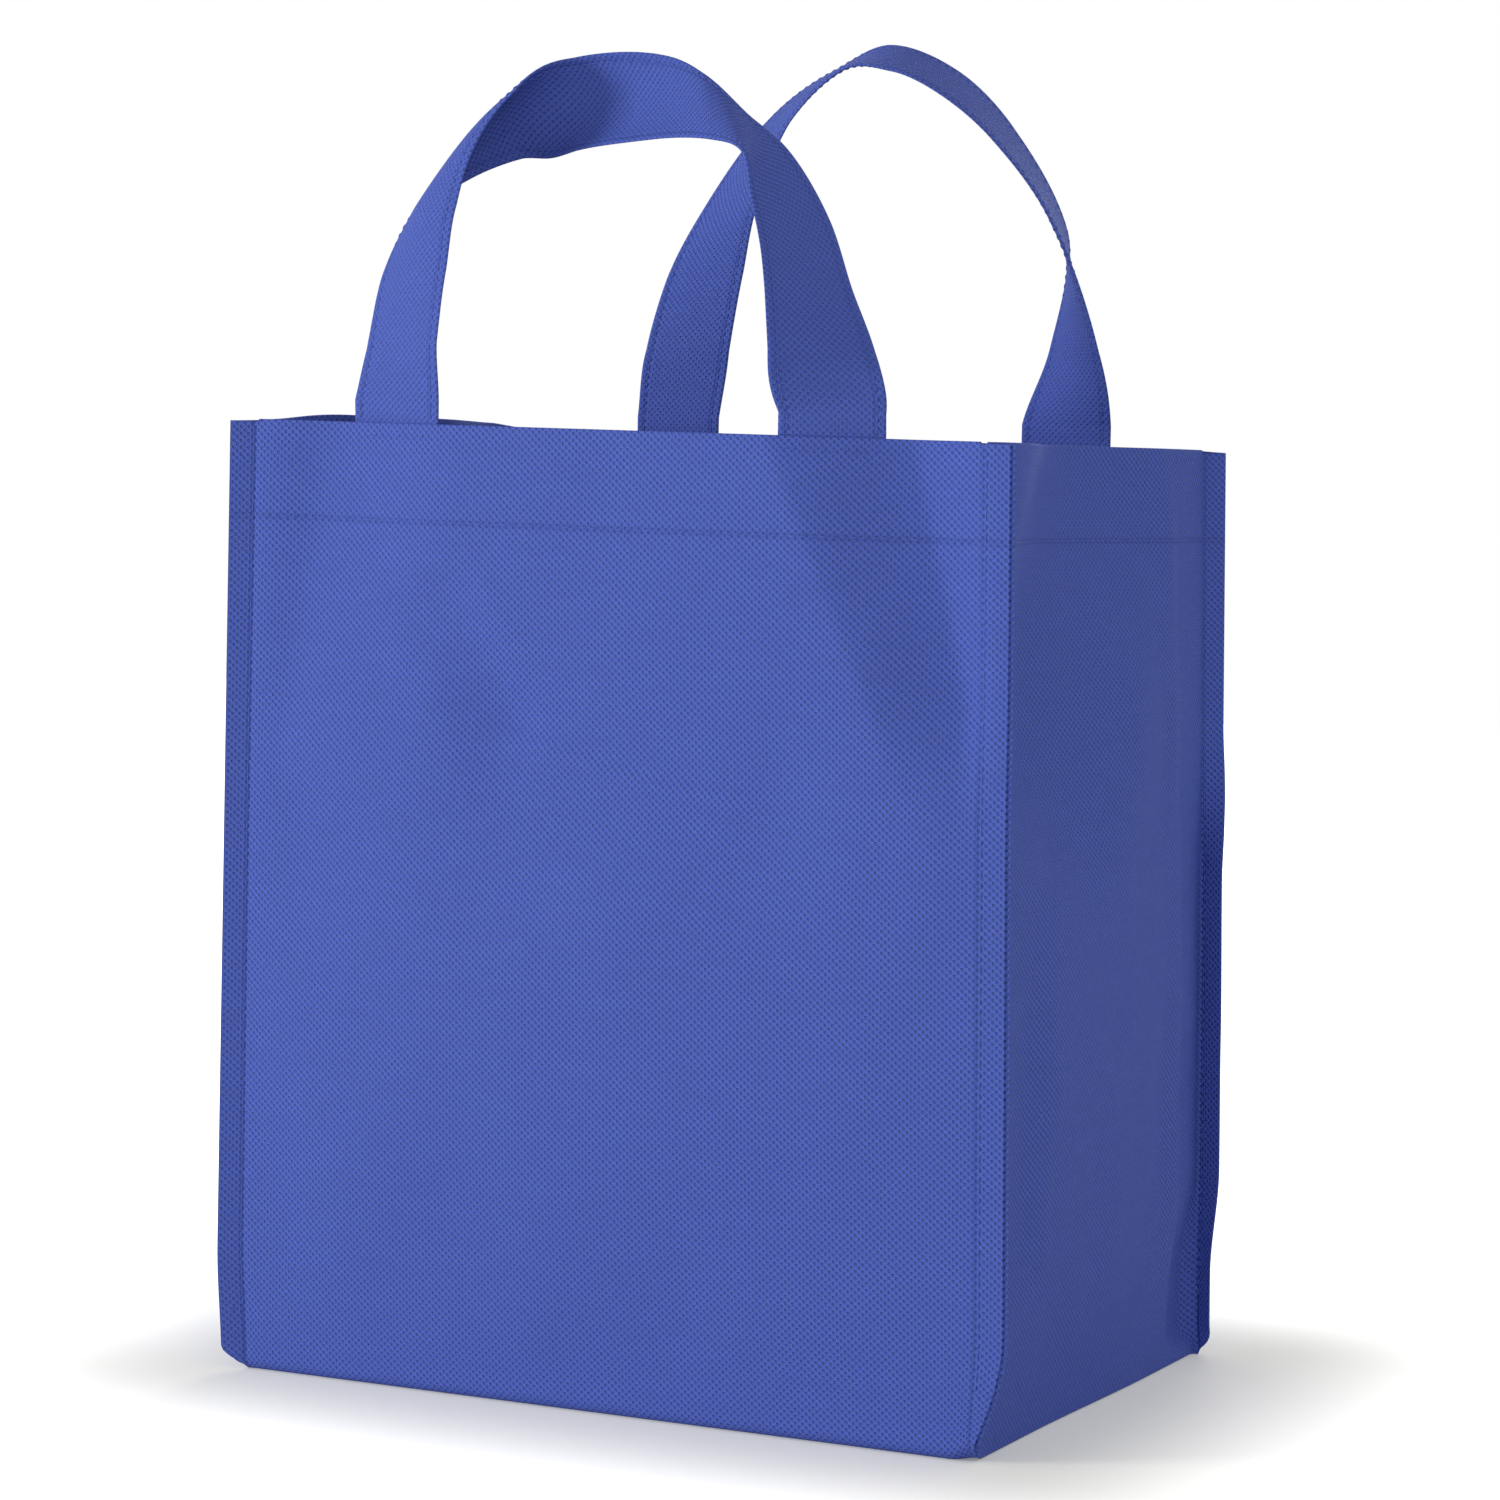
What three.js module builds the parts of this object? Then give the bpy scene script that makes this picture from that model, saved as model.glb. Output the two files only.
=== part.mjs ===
// Reusable grocery tote sewn from spun-bonded cloth, standing open and empty.
// Millimetres, +Z up, the front panel faces -Y, the origin is on the floor under the middle of the base.
import * as THREE from 'three';

// Bag
const bagHeight = 335;
const bagDepth = 210;
const bagWidth = 304;
const clothThickness = 0.5;
const sewnGap = 0.3;
const hemDepth = 34;
const flangeWidth = 9;
const footRadius = 4;
const seamLip = 8;
const bendRadius = 1.2;
const sideFloorGap = 0.4;
const flangeFloorGap = 2;

// Straps
const strapWidth = 38;
const strapThickness = 1.1;
const strapSpacing = 172;
const strapEndDepth = 31;
const strapRimRise = 8;
const strapCurl = 120;
const frontHandleRise = 114;
const frontHandleLean = 38;
const backHandleRise = 140;
const backHandleLean = 22;

// Base insert
const insertThickness = 1.2;
const insertClearance = 4;
const insertCornerRadius = 10;

// Soft shape of the standing bag
const rimTaper = 8;
const rimShift = -2;
const backTaper = 8;
const frontBulge = 8;
const backBulge = 6;
const sideBulge = 6;
const rimBulgeShare = 0.25;

// Corner flanges: rise of the rim, height over which the flange dies out at the foot,
// and the turn of the flange out of the panel's plane below and above the turning height
const flangeTurnHeight = 205;
const flangeTurnSpan = 60;
const corners = {
  frontLeft: { rise: 3, footTaper: 6, turnBelow: 28, turnAbove: 28 },
  frontRight: { rise: -1.5, footTaper: 38, turnBelow: 0, turnAbove: 0 },
  backLeft: { rise: 1, footTaper: 16, turnBelow: -8, turnAbove: 0 },
  backRight: { rise: -1.5, footTaper: 16, turnBelow: -30, turnAbove: 45 },
};

// Mesh steps
const panelColumns = 10;
const sideColumns = 8;
const wallRows = 9;
const rimSteps = 4;
const footSteps = 3;
const baseRows = 5;
const strapColumns = 6;
const strapRows = 46;

// Sizes that follow from the ones above
const layerPitch = clothThickness + sewnGap;
const halfPitch = layerPitch / 2;
const stitchX = bagWidth / 2 - flangeWidth;
const panelY = bagDepth / 2;
const baseZ = clothThickness / 2;
const wallFootZ = baseZ + footRadius;
const strapY = panelY - layerPitch - clothThickness / 2 - sewnGap - strapThickness / 2;
const edgeRun = halfPitch + bendRadius + 2.4;
const edgeStub = 2;
const edgeSteps = [0.18, 0.25, 0.33, 0.62, 1];

const colours = { cloth: 0x4a5cae, insert: 0x2b2c30 };

const mix = THREE.MathUtils.lerp;
const radians = THREE.MathUtils.degToRad;
const smooth = THREE.MathUtils.smoothstep;
const clamp = THREE.MathUtils.clamp;

function range(from, to, steps) {
  return Array.from({ length: steps + 1 }, (_, i) => mix(from, to, i / steps));
}

function cornerName(side, end) {
  return (end < 0 ? 'front' : 'back') + (side < 0 ? 'Left' : 'Right');
}

// The bag as it stands: the walls belly out, the rim and the back are narrower, and the rim isn't level
function settle(point) {
  const across = clamp(point.x / (bagWidth / 2), -1, 1);
  const along = clamp(point.y / panelY, -1, 1);
  const height = clamp(point.z / bagHeight, 0, 1);
  const belly = Math.sin(Math.PI * height) * (1 - rimBulgeShare * height) + rimBulgeShare * height;
  const panelBulge = along < 0 ? frontBulge : backBulge;
  const front = mix(corners.frontLeft.rise, corners.frontRight.rise, (across + 1) / 2);
  const back = mix(corners.backLeft.rise, corners.backRight.rise, (across + 1) / 2);
  const taper = 1 - (rimTaper * height + (backTaper * (along + 1)) / 2) / bagWidth;
  const x = point.x * taper + rimShift * height + sideBulge * across * (1 - along * along) * belly;
  const y = point.y + panelBulge * along * (1 - across * across) * belly;
  const z = point.z + mix(front, back, (along + 1) / 2) * height ** 3;
  return new THREE.Vector3(x, y, z);
}

// Direction across a grid line at one of its points
function stepAlong(grid, row, column, rowStep, columnStep) {
  const lastRow = grid.length - 1;
  const lastColumn = grid[0].length - 1;
  const next = grid[clamp(row + rowStep, 0, lastRow)][clamp(column + columnStep, 0, lastColumn)];
  const before = grid[clamp(row - rowStep, 0, lastRow)][clamp(column - columnStep, 0, lastColumn)];
  return next.clone().sub(before).normalize();
}

// A closed body from a grid of points on the middle of a sheet
function thicken(grid, thickness) {
  const rows = grid.length;
  const columns = grid[0].length;
  const layer = rows * columns;
  const positions = new Float32Array(layer * 6);
  for (let row = 0; row < rows; row += 1) {
    for (let column = 0; column < columns; column += 1) {
      const across = stepAlong(grid, row, column, 0, 1);
      const normal = across.cross(stepAlong(grid, row, column, 1, 0)).normalize();
      const index = row * columns + column;
      const offset = normal.multiplyScalar(thickness / 2);
      grid[row][column].clone().add(offset).toArray(positions, index * 3);
      grid[row][column].clone().sub(offset).toArray(positions, (layer + index) * 3);
    }
  }
  const faces = [];
  const quad = (a, b, c, d) => faces.push(a, b, c, a, c, d);
  for (let row = 0; row < rows - 1; row += 1) {
    for (let column = 0; column < columns - 1; column += 1) {
      const a = row * columns + column;
      quad(a, a + 1, a + columns + 1, a + columns);
      quad(layer + a, layer + a + columns, layer + a + columns + 1, layer + a + 1);
    }
  }
  for (let column = 0; column < columns - 1; column += 1) {
    const top = (rows - 1) * columns + column;
    quad(column, layer + column, layer + column + 1, column + 1);
    quad(top, top + 1, layer + top + 1, layer + top);
  }
  for (let row = 0; row < rows - 1; row += 1) {
    const left = row * columns;
    const right = left + columns - 1;
    quad(left, left + columns, layer + left + columns, layer + left);
    quad(right, layer + right, layer + right + columns, right + columns);
  }
  const geometry = new THREE.BufferGeometry();
  geometry.setAttribute('position', new THREE.BufferAttribute(positions, 3));
  geometry.setIndex(faces);
  geometry.computeVertexNormals();
  return geometry;
}

function cloth(name) {
  const material = new THREE.MeshStandardMaterial({ color: colours.cloth, roughness: 0.85, metalness: 0 });
  material.name = name;
  return material;
}

function sheetMesh(name, grid, thickness) {
  const mesh = new THREE.Mesh(thicken(grid, thickness), cloth('spunbond_' + name));
  mesh.name = name;
  return mesh;
}

// Points of a sheet's edge past its last flat column: straight, one round bend, straight again.
// The two straight lines meet a little short of the stitch line.
function edgePoints(turn, length, short = halfPitch * Math.tan(turn / 2)) {
  const bendStart = edgeRun - short - bendRadius * Math.tan(Math.abs(turn) / 2);
  const bendLength = bendRadius * Math.abs(turn);
  return edgeSteps.map((share) => {
    const run = share * length;
    const bent = clamp(run - bendStart, 0, bendLength);
    const past = Math.max(run - bendStart - bendLength, 0);
    const angle = (Math.sign(turn) * bent) / bendRadius;
    const out = Math.sign(turn) * bendRadius * (1 - Math.cos(angle)) + past * Math.sin(angle);
    const along = Math.min(run, bendStart) + bendRadius * Math.sin(Math.abs(angle)) + past * Math.cos(angle);
    return { along, out };
  });
}

function flangeTurn(corner, z) {
  const { turnBelow, turnAbove } = corners[corner];
  const low = flangeTurnHeight - flangeTurnSpan / 2;
  return radians(mix(turnBelow, turnAbove, smooth(z, low, low + flangeTurnSpan)));
}

// Length of sheet past the last flat column that makes the corner flange at a height
function flangeLength(corner, z) {
  const fade = clamp(1 - (z - flangeFloorGap) / corners[corner].footTaper, 0, 1);
  return mix(edgeRun + flangeWidth, edgeStub, fade ** 1.6);
}

// Inset of the walls where they round into the base
function footInset(z) {
  const drop = clamp(wallFootZ - z, 0, footRadius);
  return footRadius - Math.sqrt(footRadius ** 2 - drop ** 2);
}

function footAngles() {
  return range(0, Math.PI / 2, footSteps).slice(1);
}

function footHeight(angle) {
  return wallFootZ - footRadius * Math.sin(angle);
}

// Wall heights from just under the rim to the foot, closer together where the flange dies out
function wallHeights() {
  const lowStart = Math.max(...Object.values(corners).map((corner) => corner.footTaper)) + wallFootZ;
  const low = range(0, 1, 5).map((share) => wallFootZ + (lowStart - wallFootZ) * (1 - share) ** 1.5);
  return [...range(bagHeight - 2, lowStart, wallRows).slice(0, -1), ...low];
}

// Hem and rim: up the inside, over the fold, as an inward distance and a height
function hemStations() {
  const inside = range(bagHeight - hemDepth, bagHeight - halfPitch, 2);
  const up = inside.map((z) => ({ inward: layerPitch, z }));
  const fold = range(0, Math.PI, rimSteps).slice(1).map((angle) => ({
    inward: halfPitch + halfPitch * Math.cos(angle),
    z: bagHeight - halfPitch + halfPitch * Math.sin(angle),
  }));
  return [...up, ...fold];
}

// One half of the body strip, from the hem inside to the middle of the base
function bodyStations(end) {
  const outward = new THREE.Vector3(0, end, 0);
  const hem = hemStations().map(({ inward, z }) => ({ y: end * (panelY - inward), z, outward, hem: true }));
  const wall = wallHeights().map((z) => ({ y: end * panelY, z, outward }));
  const foot = footAngles().map((angle) => ({
    y: end * (panelY - footRadius + footRadius * Math.cos(angle)),
    z: footHeight(angle),
    outward: new THREE.Vector3(0, end * Math.cos(angle), -Math.sin(angle)),
  }));
  const base = range(panelY - footRadius, 0, baseRows).slice(1).map((y) => ({
    y: end * y,
    z: baseZ,
    outward: new THREE.Vector3(0, 0, -1),
    base: true,
  }));
  return [...hem, ...wall, ...foot, ...base];
}

function bodyEdge(station, side) {
  if (station.hem) return edgePoints(0, edgeStub);
  if (station.base) return edgePoints(-Math.PI / 2, edgeRun + seamLip, halfPitch);
  const corner = cornerName(side, station.y);
  return edgePoints(flangeTurn(corner, station.z), flangeLength(corner, station.z));
}

function bodyRow(station) {
  const flatX = stitchX - edgeRun;
  const edge = (side) => bodyEdge(station, side).map(({ along, out }) => {
    const point = new THREE.Vector3(side * (flatX + along), station.y, station.z);
    return settle(point.addScaledVector(station.outward, out));
  });
  const flat = range(-flatX, flatX, panelColumns)
    .map((x) => settle(new THREE.Vector3(x, station.y, station.z)));
  return [...edge(-1).reverse(), ...flat, ...edge(1)];
}

// Front, base and back in one strip, with the hem folded inside at both ends
function bodyPanel() {
  const stations = [...bodyStations(-1), ...bodyStations(1).slice(0, -1).reverse()];
  return sheetMesh('body_panel', stations.map(bodyRow), clothThickness);
}

function sideEdge(station, side, end) {
  if (station.hem) return edgePoints(0, edgeStub);
  const corner = cornerName(side, end);
  return edgePoints(Math.PI / 2 - flangeTurn(corner, station.z), flangeLength(corner, station.z));
}

function sideRow(station, side) {
  const x = stitchX + halfPitch - station.inward;
  const flatY = panelY - halfPitch - footInset(station.z) - edgeRun;
  const edge = (end) => sideEdge(station, side, end).map(({ along, out }) =>
    settle(new THREE.Vector3(side * (x + out), end * (flatY + along), station.z)));
  const flat = range(-flatY, flatY, sideColumns)
    .map((y) => settle(new THREE.Vector3(side * x, y, station.z)));
  return [...edge(-1).reverse(), ...flat, ...edge(1)];
}

// A side panel with its own hem, its edges turned out along the corner flanges
function sidePanel(name, side) {
  const hem = hemStations().map((station) => ({ ...station, hem: true }));
  const foot = footAngles().map((angle) => Math.max(footHeight(angle), sideFloorGap));
  const wall = [...wallHeights(), ...foot].map((z) => ({ inward: 0, z }));
  const stations = [...hem, ...wall];
  return sheetMesh(name, stations.map((station) => sideRow(station, side)), clothThickness);
}

// One row of points across a strap, curled by an angle about its length
function strapRow(middle, across, face, curl) {
  const halfCurl = Math.max(curl / 2, 1e-4);
  const radius = strapWidth / 2 / halfCurl;
  return range(-halfCurl, halfCurl, strapColumns).map((angle) => {
    const point = middle.clone().addScaledVector(across, radius * Math.sin(angle));
    return settle(point.addScaledVector(face, radius * (Math.cos(angle) - Math.cos(halfCurl))));
  });
}

// The end of a strap, flat against the inside of the hem
function sewnRows(end, side, across) {
  const face = new THREE.Vector3(0, 1, 0);
  return range(-strapEndDepth, strapRimRise / 4, 2).map((rise) => {
    const middle = new THREE.Vector3((side * strapSpacing) / 2, end * strapY, bagHeight + rise);
    return strapRow(middle, across, face, 0);
  });
}

// A strap that stands up from the rim with both ends sewn in. A station gives the middle of the strap as
// shares of half the spacing sideways, of the handle's lean inwards and of its rise over the rim, then the
// direction across the strap and its share of the full curl.
function strap(name, end, { rise, lean }, sewnAcross, stations) {
  const halfSpacing = strapSpacing / 2;
  const place = (x, inward, z) => new THREE.Vector3(x, end * (strapY - inward), bagHeight + z);
  const atRim = (side) => place(side * halfSpacing, 0, strapRimRise);
  const between = stations.map(({ at: [x, inward, z] }) => place(x * halfSpacing, inward * lean, z * rise));
  const middle = new THREE.CatmullRomCurve3([atRim(-1), ...between, atRim(1)]);
  const sewn = new THREE.Vector3(...sewnAcross);
  const acrosses = stations.map(({ across }) => new THREE.Vector3(...across));
  const acrossCurve = new THREE.CatmullRomCurve3([sewn, ...acrosses, sewn]);
  const curls = [0, ...stations.map(({ curl = 0 }) => curl * radians(strapCurl)), 0];
  const curlCurve = new THREE.CatmullRomCurve3(curls.map((curl, i) => new THREE.Vector3(i, curl, 0)));
  const freeRows = range(0, 1, strapRows).map((share) => {
    const across = acrossCurve.getPoint(share).normalize();
    const face = new THREE.Vector3().crossVectors(across, middle.getTangent(share)).normalize();
    return strapRow(middle.getPoint(share), across, face, curlCurve.getPoint(share).y);
  });
  const grid = [...sewnRows(end, -1, sewn), ...freeRows, ...sewnRows(end, 1, sewn).reverse()];
  return sheetMesh(name, grid, strapThickness);
}

// The left leg rolls over backwards into a band that stands on edge and bends forwards into the right leg
function frontHandle() {
  const size = { rise: frontHandleRise, lean: frontHandleLean };
  return strap('front_handle', -1, size, [1, 0, 0], [
    { at: [-0.97, 0.03, 0.24], across: [0.95, -0.3, 0.05] },
    { at: [-0.95, 0.16, 0.46], across: [0.93, -0.36, 0.06], curl: 0.2 },
    { at: [-0.9, 0.33, 0.65], across: [0.83, -0.54, 0.1], curl: 0.5 },
    { at: [-0.79, 0.6, 0.81], across: [0.55, -0.78, 0.31], curl: 0.7 },
    { at: [-0.65, 0.86, 0.92], across: [0.3, -0.74, 0.6], curl: 0.8 },
    { at: [-0.42, 1, 0.99], across: [-0.1, 0.1, 0.99], curl: 0.9 },
    { at: [0, 0.95, 1.01], across: [-0.28, 0.5, 0.82], curl: 0.4 },
    { at: [0.27, 0.74, 0.97], across: [-0.42, 0.65, 0.63] },
    { at: [0.48, 0.53, 0.89], across: [-0.41, 0.81, 0.42] },
    { at: [0.64, 0.37, 0.76], across: [-0.08, 0.88, 0.47] },
    { at: [0.78, 0.24, 0.6], across: [0.21, 0.95, 0.22] },
    { at: [0.87, 0.13, 0.43], across: [0.4, 0.91, 0.03] },
    { at: [0.95, 0.05, 0.25], across: [0.7, 0.71, 0] },
  ]);
}

// The strap twists edge-on in the left leg and arches over to the right
function backHandle() {
  const size = { rise: backHandleRise, lean: backHandleLean };
  return strap('back_handle', 1, size, [-1, 0, 0], [
    { at: [-0.95, 0.05, 0.24], across: [-1, 0, 0] },
    { at: [-0.85, 0.14, 0.45], across: [-0.99, 0.13, -0.07] },
    { at: [-0.72, 0.32, 0.61], across: [-0.92, 0.39, -0.08] },
    { at: [-0.41, 0.64, 0.86], across: [-0.66, 0.75, 0.07] },
    { at: [-0.08, 0.86, 0.99], across: [-0.55, 0.83, 0.05] },
    { at: [0.2, 1, 1.02], across: [-0.4, 0.85, 0.33] },
    { at: [0.5, 1, 0.95], across: [-0.27, 0.9, 0.33] },
    { at: [0.74, 0.82, 0.82], across: [-0.11, 0.99, 0.08] },
    { at: [0.99, 0.41, 0.57], across: [-0.24, 0.97, -0.04] },
    { at: [1.04, 0.14, 0.25], across: [-0.8, 0.6, 0] },
  ]);
}

// A stiff board that lies loose on the base
function baseInsert() {
  const halfX = stitchX - edgeRun - insertClearance;
  const halfY = panelY - footRadius - insertClearance;
  const radius = insertCornerRadius;
  const outline = new THREE.Shape();
  outline.absarc(halfX - radius, halfY - radius, radius, 0, Math.PI / 2);
  outline.absarc(radius - halfX, halfY - radius, radius, Math.PI / 2, Math.PI);
  outline.absarc(radius - halfX, radius - halfY, radius, Math.PI, Math.PI * 1.5);
  outline.absarc(halfX - radius, radius - halfY, radius, Math.PI * 1.5, Math.PI * 2);
  const settings = { depth: insertThickness, bevelEnabled: false, curveSegments: 6 };
  const geometry = new THREE.ExtrudeGeometry(outline, settings);
  geometry.translate(0, 0, clothThickness + sewnGap);
  const material = new THREE.MeshStandardMaterial({ color: colours.insert, roughness: 0.6, metalness: 0 });
  material.name = 'insert_board';
  const mesh = new THREE.Mesh(geometry, material);
  mesh.name = 'base_insert';
  return mesh;
}

const tote = new THREE.Group();
tote.name = 'grocery_tote';
tote.add(bodyPanel(), sidePanel('left_side_panel', -1), sidePanel('right_side_panel', 1));
tote.add(frontHandle(), backHandle(), baseInsert());

export default tote;
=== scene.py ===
"""A sewn grocery tote of embossed spun-bonded cloth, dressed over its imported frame."""

import math

import bpy
import numpy as np
from mathutils import Matrix


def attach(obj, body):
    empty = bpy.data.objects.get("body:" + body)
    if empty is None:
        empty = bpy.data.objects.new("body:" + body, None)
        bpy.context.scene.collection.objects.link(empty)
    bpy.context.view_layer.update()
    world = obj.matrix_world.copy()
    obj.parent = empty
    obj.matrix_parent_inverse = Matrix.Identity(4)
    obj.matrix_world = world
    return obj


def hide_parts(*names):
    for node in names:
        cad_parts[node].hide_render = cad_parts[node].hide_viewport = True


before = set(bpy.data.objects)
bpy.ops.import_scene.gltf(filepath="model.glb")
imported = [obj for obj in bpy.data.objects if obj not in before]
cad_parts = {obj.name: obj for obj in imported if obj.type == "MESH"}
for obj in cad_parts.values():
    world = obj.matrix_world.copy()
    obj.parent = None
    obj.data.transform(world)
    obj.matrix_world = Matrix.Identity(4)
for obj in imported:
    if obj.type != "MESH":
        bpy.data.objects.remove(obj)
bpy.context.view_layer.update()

# Sizes of the bag in millimetres and degrees, as in the part's source
BAG_HEIGHT = 335.0
BAG_DEPTH = 210.0
BAG_WIDTH = 304.0
CLOTH = 0.5
SEWN_GAP = 0.3
HEM_DEPTH = 34.0
FLANGE_WIDTH = 9.0
FOOT_RADIUS = 4.0
SEAM_LIP = 8.0
BEND_RADIUS = 1.2
SIDE_FLOOR_GAP = 0.4
FLANGE_FLOOR_GAP = 2.0
STRAP_WIDTH = 38.0
STRAP_THICKNESS = 1.1
STRAP_SPACING = 172.0
STRAP_END_DEPTH = 31.0
STRAP_RIM_RISE = 8.0
STRAP_CURL = 120.0
RIM_TAPER = 8.0
RIM_SHIFT = -2.0
BACK_TAPER = 8.0
FRONT_BULGE = 8.0
BACK_BULGE = 6.0
SIDE_BULGE = 6.0
RIM_BULGE_SHARE = 0.25
FLANGE_TURN_HEIGHT = 205.0
FLANGE_TURN_SPAN = 60.0

# Corner of the bag: rise of the rim, height over which the flange dies out, its turn below and above.
# The back right flange is fitted to the photograph more closely than in the part's source.
CORNERS = {
    (-1, -1): (3.0, 6.0, 28.0, 28.0),
    (1, -1): (-1.5, 38.0, 0.0, 0.0),
    (-1, 1): (1.0, 16.0, -8.0, 0.0),
    (1, 1): (-1.5, 9.0, -20.0, 45.0),
}

# Edges of the sheets
EDGE_FLAT = 2.4
EDGE_STUB = 2.0
FLANGE_STUB = 1.0
FLANGE_FADE_POWER = 1.6
LIP_FADE = 20.0
RIM_STEP = 0.25
STRAP_EDGE_ROUND = 1.2
STRAP_EDGE_LIMIT = 0.985
SHARP_ANGLE = 50.0

# Rows and columns of the sheets
HEM_ROWS = 10
FOLD_ROWS = 8
FRONT_ROWS = 120
BACK_ROWS = 60
SIDE_ROWS = 84
FOOT_ROWS = 18
FOOT_ROWS_TOP = 44.0
FOOT_ROWS_SPREAD = 1.3
FOOT_BEND_ROWS = 6
BASE_ROWS = 15
BODY_COLUMNS = 120
SIDE_COLUMNS = 64
BEND_COLUMNS = 7
FLANGE_COLUMNS = 4
BEND_COLUMNS_SHARE = 0.4
STRAP_ROWS = 260
STRAP_END_ROWS = 14
STRAP_COLUMNS = 25
STRAP_EDGE_COLUMNS = 4

# How the bag stands: shares run from -1 to 1 between the left and right or the front and back walls
RIM_RISE_POWER = 3
LEFT_RIM_LIFT = 3.0
LEFT_RIM_LIFT_POWER = 6
LEFT_RIM_SPAN = (0.5, 0.97)
LEFT_RIM_EDGE = (0.88, 0.93)
FOOT_TUCK = 2.5
FOOT_TUCK_HEIGHT = 45.0
FOOT_TUCK_SPAN = (-0.5, 0.5)
FOOT_TUCK_EDGE = (0.85, 0.97)
FOOT_LIFT = 3.0
FOOT_LIFT_HEIGHT = 25.0
FOOT_LIFT_ACROSS = (0.875, 0.95)
FOOT_LIFT_ALONG = (0.925, 1.0)

# Where the soft relief of a wall starts and ends: shares of the bag, and heights above the rim
FRONT_BACK_SHARES = (0.8, 0.97)
SIDE_SHARES = (0.8, 0.93)
RELIEF_END = (4.0, 30.0)
RELIEF_EDGE = 25.0
RELIEF_FOOT = (2.0, 30.0)

# Unevenness of a wall: heights and lengths of its long and its short waves, and the seed of the first
WAVE_COUNT = 14
WAVE_SPREAD = (0.7, 1.6)
FRONT_WAVES = ((0.5, 0.12), (90.0, 34.0), 3)
BACK_WAVES = ((0.9, 0.2), (90.0, 36.0), 11)
RIGHT_WAVES = ((0.7, 0.2), (80.0, 30.0), 21)
LEFT_WAVES = ((0.7, 0.2), (80.0, 30.0), 31)

# Creases of a wall: depth, line from and to, and width of the walls to the left and right of it
CREASE_FADE = (-0.15, 0.2)
FRONT_CREASES = [
    (5.0, (-50.0, 236.0), (85.0, 208.0), 55.0, 60.0),
    (-1.2, (-45.0, 231.0), (75.0, 206.0), 5.0, 6.0),
    (2.0, (-165.0, 216.0), (-15.0, 178.0), 18.0, 40.0),
    (2.5, (-65.0, 284.0), (-30.0, 226.0), 18.0, 28.0),
]
SIDE_CREASES = [
    (16.0, (8.0, 365.0), (-70.0, 210.0), 90.0, 60.0),
    (-2.0, (62.0, 340.0), (74.0, 30.0), 10.0, 16.0),
    (2.5, (-66.0, 180.0), (-72.0, 50.0), 20.0, 26.0),
]

# Dimple of a side panel near the back of its foot
DIMPLE_DEPTH = 5.0
DIMPLE_START = (64.0, 90.0)
DIMPLE_TOP = (30.0, 70.0)
DIMPLE_EDGE = 8.0
DIMPLE_FOOT = (2.0, 12.0)

# Wedge under the right end of the front strap. Pairs are at the rim and a full reach below it.
WEDGE_REACH = 117.0
WEDGE_START = (63.0, 115.0)
WEDGE_BOTTOM = (116.0, 144.0)
WEDGE_BOTTOM_LIMIT = 136.0
WEDGE_DEPTH = (17.0, 9.0)
WEDGE_FADE = (0.65, 1.15)
WEDGE_RETURN = 0.5
WEDGE_RETURN_PAST = 5.0
WEDGE_DRAW = 0.32
RAMP_SOFTNESS = 0.3

# Fold left of the left end of the front strap. Pairs are at the rim and a full reach below it.
FOLD_REACH = 130.0
FOLD_RIDGE = (66.0, 30.0)
FOLD_RIDGE_SHIFT = (0.35, 0.85)
FOLD_RIDGE_ROUND = 8.0
FOLD_BOTTOM = (113.0, 131.0)
FOLD_BOTTOM_ROUND = 2.0
FOLD_DEPTH = (5.0, 2.5)
FOLD_FADE = (0.5, 1.0)

# Sewing
STITCH_LENGTH = 2.7
STITCH_PITCH = 3.4
STITCH_SIDES = 6
STITCH_RINGS = 5
THREAD_RADIUS = 0.3
THREAD_END_SHARE = 0.55
THREAD_RISE = (-0.7, 0.4)
ROW_STEP = 1.2
ROW_LEAST_STEPS = 8
HEM_ROW_INSET = 1.5
SIDE_HEM_INSET = 6.0
TACK_DROP = 4.0
TACK_HALF_WIDTH = 18.0
CORNER_ROW_START = 1.5
CORNER_ROW_FOOT = 22.0
CORNER_ROW_FADE_SHARE = 0.6
CORNER_ROW_TURN_SHARE = 0.72
BODY_ROW_OUT = 0.6
SIDE_ROW_OUT = 0.8
STRAP_ROW_INSET = 3.2
STRAP_ROW_END = 2.0

# Cloth pattern in millimetres, and the looks of cloth, thread and board
EMBOSS_WIDTH = 2.67
EMBOSS_HEIGHT = 2.39
EMBOSS_DEPTH = 0.6
STRAP_EMBOSS_DEPTH = 0.4
EMBOSS_MIX = (0.6, 0.4)
EMBOSS_EDGE = (0.1, 0.85)
SEAM_PRESS = 1.6
SEAM_PRESS_DEPTH = 0.8
FIBRE_SCALE = 2600.0
FIBRE_HEIGHT = 0.3
CLOUD_SCALE = 170.0
CLOUD_STRETCH = (0.25, 1.0, 1.0)
CLOUD_DOTS = (0.5, 1.5)
CLOUD_TONE = 0.14
FIBRE_TONE = 0.12
# Painted shade: the pressed dots are darkened in colour, standing in for the shade in their hollows.
DOT_PAINTED_SHADE = -0.24
SEAM_TONE = -0.05
CLOTH_ROUGHNESS = (0.76, 0.92)
DOT_ROUGHNESS = -0.12
CLOTH_SPECULAR = 0.18
CLOTH_COLOUR = (0.067, 0.107, 0.43)
PANEL_BRIGHTNESS = 1.12
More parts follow.
